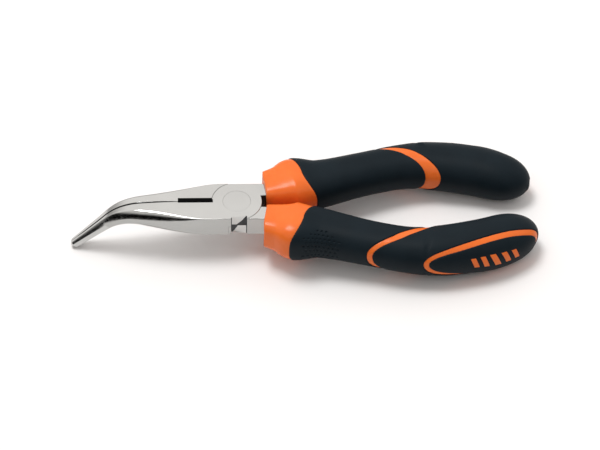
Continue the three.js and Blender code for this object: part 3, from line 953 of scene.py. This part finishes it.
def plated_steel(name, dark, light, rough, brushed):
    """Polished plate over ground steel, with the faint lines of the grinding."""
    material, shader, add, link = new_material(name)
    shader.inputs["Metallic"].default_value = 1.0
    lines = noise(add, link, 900, 3.0, 0.6, brushed)
    cloud = noise(add, link, 60, 3.0)
    link(tint(add, link, cloud, dark, light), shader.inputs["Base Color"])
    blend = add("ShaderNodeMath")
    blend.operation = "ADD"
    link(spread(add, link, lines, rough - 0.03, rough + 0.05), blend.inputs[0])
    link(spread(add, link, cloud, -0.01, 0.03), blend.inputs[1])
    link(blend.outputs[0], shader.inputs["Roughness"])
    bump(add, link, shader, [(lines, 1.2e-6), (noise(add, link, 220, 2.0), 2e-6)])
    return material


def soft_rubber():
    """Satin blue-black elastomer with a fine, even grain."""
    material, shader, add, link = new_material("soft_rubber")
    cloud = noise(add, link, 90, 4.0)
    grain = noise(add, link, 5200, 2.0, 0.5)
    colour = tint(add, link, cloud, (0.0045, 0.0095, 0.0135), (0.007, 0.0135, 0.0185))
    link(colour, shader.inputs["Base Color"])
    link(spread(add, link, cloud, 0.46, 0.56), shader.inputs["Roughness"])
    shader.inputs["Specular IOR Level"].default_value = 0.09
    shader.inputs["Sheen Weight"].default_value = 0.02
    shader.inputs["Sheen Roughness"].default_value = 0.5
    bump(add, link, shader, [(grain, 1.6e-5), (noise(add, link, 420, 2.0), 2.5e-5)])
    return material


def hard_orange():
    """Smooth moulded orange plastic, slightly translucent."""
    material, shader, add, link = new_material("hard_orange")
    cloud = noise(add, link, 110, 3.0)
    link(tint(add, link, cloud, (0.76, 0.145, 0.022), (0.84, 0.172, 0.03)), shader.inputs["Base Color"])
    link(spread(add, link, noise(add, link, 700, 3.0), 0.2, 0.27), shader.inputs["Roughness"])
    shader.inputs["Specular IOR Level"].default_value = 0.22
    shader.inputs["Subsurface Weight"].default_value = 0.08
    shader.inputs["Subsurface Radius"].default_value = (1.0, 0.35, 0.1)
    shader.inputs["Subsurface Scale"].default_value = 0.0012
    bump(add, link, shader, [(noise(add, link, 2600, 2.0), 4e-6), (noise(add, link, 260, 2.0), 2e-5)])
    return material


def pale_floor():
    """A smooth, nearly white sheet."""
    material, shader, add, link = new_material("pale_floor")
    cloud = noise(add, link, 6, 3.0)
    link(tint(add, link, cloud, (0.86, 0.85, 0.845), (0.88, 0.87, 0.865)), shader.inputs["Base Color"])
    shader.inputs["Roughness"].default_value = 0.75
    bump(add, link, shader, [(noise(add, link, 1500, 2.0), 1e-5)])
    return material


STEEL = plated_steel("plated_steel", (0.52, 0.525, 0.515), (0.56, 0.565, 0.555), 0.13, (1.0, 0.06, 1.0))
# Painted shade: near-black steel for the cutter slot, crotch gap and notch fields.
PAINTED_SHADE_STEEL = plated_steel("steel_with_painted_shade", (0.05, 0.052, 0.054), (0.075, 0.077, 0.08), 0.42, (1.0, 1.0, 1.0))
# Toothed faces, darker as painted shade of the gap between the jaws.
TEETH_GAP_SHADE_STEEL = plated_steel("toothed_steel_gap_shade", (0.17, 0.172, 0.17), (0.22, 0.222, 0.22), 0.34, (1.0, 1.0, 1.0))
# Flank steel, darker as painted shade.
FLANK_SHADE_STEEL = plated_steel("flank_steel_painted_shade", (0.425, 0.43, 0.42), (0.46, 0.465, 0.455), 0.2, (1.0, 0.06, 1.0))
RIVET = plated_steel("rivet_steel", (0.51, 0.515, 0.505), (0.55, 0.555, 0.545), 0.17, (0.08, 1.0, 1.0))
RUBBER = soft_rubber()
ORANGE = hard_orange()
FLOOR = pale_floor()


# ================= The object =================

SIDES = [("far", "upper", False), ("near", "lower", True)]
grip_meshes = {
    "grip_core": (core_mesh(), ORANGE, "grip_core"),
    "front_sleeve": (front_sleeve_mesh(), RUBBER, "grip_soft"),
    "rear_sleeve": (rear_sleeve_mesh(), RUBBER, "grip_soft"),
    "palm_inlay": (palm_inlay_mesh(), RUBBER, "grip_soft"),
}
for side, body, turned in SIDES:
    for part, ((points, faces), material, slot) in grip_meshes.items():
        node = f"{side}_{part}"
        piece = make_object(f"{node}_skin", points, faces, material, turned)
        declare(piece, body, slot, node)

for bar in range(BAR_COUNT):
    piece = make_object(f"near_palm_bar_{bar + 1}", *bar_mesh(bar), ORANGE, True)
    declare(piece, "lower", "grip_core", "near_palm_inlay")
declare(upper_half_object(), "upper", "plated_steel", "upper_half")
declare(lower_half_object(), "lower", "plated_steel", "lower_half")
declare(rivet_object(), "lower", "rivet_steel", "pivot_rivet")


# ================= Floor, light and camera =================

def stage_floor():
    """A square of plain floor under the tool."""
    mesh = bpy.data.meshes.new("floor")
    corners = [(-1, -1), (1, -1), (1, 1), (-1, 1)]
    mesh.from_pydata([(FLOOR_HALF * x, FLOOR_HALF * y, 0) for x, y in corners], [], [(0, 1, 2, 3)])
    mesh.materials.append(FLOOR)
    floor = bpy.data.objects.new("floor", mesh)
    bpy.context.scene.collection.objects.link(floor)


def key_light():
    """One large soft light overhead, which looks at the middle of the tool."""
    data = bpy.data.lights.new("key", "AREA")
    data.shape = "SQUARE"
    data.size = KEY_SIZE
    data.energy = KEY_POWER
    light = bpy.data.objects.new("key", data)
    light.location = KEY_PLACE
    light.rotation_euler = (-Vector(KEY_PLACE)).to_track_quat("-Z", "Y").to_euler()
    bpy.context.scene.collection.objects.link(light)


def studio_world():
    """A soft white dome that is dark low down in front, as the room is behind the camera."""
    world = bpy.data.worlds.new("studio")
    bpy.context.scene.world = world
    world.use_nodes = True
    nodes, link = world.node_tree.nodes, world.node_tree.links.new
    background = nodes["Background"]
    background.inputs["Color"].default_value = WORLD_COLOUR

    def smooth_step(value, low, high, most):
        node = nodes.new("ShaderNodeMapRange")
        node.interpolation_type = "SMOOTHSTEP"
        node.inputs["From Min"].default_value = low
        node.inputs["From Max"].default_value = high
        node.inputs["To Max"].default_value = most
        link(value, node.inputs["Value"])
        return node.outputs["Result"]

    def calculate(operation, first, second):
        node = nodes.new("ShaderNodeMath")
        node.operation = operation
        link(first, node.inputs[0])
        link(second, node.inputs[1])
        return node.outputs[0]

    split = nodes.new("ShaderNodeSeparateXYZ")
    link(nodes.new("ShaderNodeTexCoord").outputs["Generated"], split.inputs[0])
    height = smooth_step(split.outputs["Z"], WORLD_DARK_BELOW, WORLD_BRIGHT_ABOVE, WORLD_FRONT)
    behind = smooth_step(split.outputs["Y"], WORLD_BEHIND_FROM, WORLD_BEHIND_TO, 1)
    level = nodes.new("ShaderNodeValToRGB")
    stops = level.color_ramp.elements
    while len(stops) < len(WORLD_LEVELS):
        stops.new(0.5)
    for stop, (place, brightness) in zip(stops, WORLD_LEVELS):
        stop.position = place
        stop.color = (brightness, brightness, brightness, 1)
    link(split.outputs["Z"], level.inputs["Fac"])
    dome = calculate("MAXIMUM", height, behind)
    link(calculate("MULTIPLY", dome, level.outputs["Color"]), background.inputs["Strength"])


def studio_camera():
    """The camera looks down at the tool from in front, a little rolled."""
    level = math.cos(CAMERA_ELEVATION)
    away = Vector((
        -math.sin(CAMERA_AZIMUTH) * level,
        -math.cos(CAMERA_AZIMUTH) * level,
        math.sin(CAMERA_ELEVATION),
    ))
    right = (-away).cross(Vector((0, 0, 1))).normalized()
    above = right.cross(-away)
    c, s = math.cos(CAMERA_ROLL), math.sin(CAMERA_ROLL)
    side = right * c + above * s
    up = above * c - right * s
    place = Vector(ORIGIN) + away * CAMERA_DISTANCE + right * CAMERA_ASIDE[0] + above * CAMERA_ASIDE[1]
    data = bpy.data.cameras.new("camera")
    data.lens = CAMERA_LENS
    data.sensor_width = 36
    data.clip_start = 0.01
    camera = bpy.data.objects.new("camera", data)
    camera.matrix_world = Matrix.Translation(place) @ Matrix((side, up, away)).transposed().to_4x4()
    bpy.context.scene.collection.objects.link(camera)
    bpy.context.scene.camera = camera


stage_floor()
key_light()
studio_world()
studio_camera()
bpy.context.scene.view_settings.view_transform = "Standard"
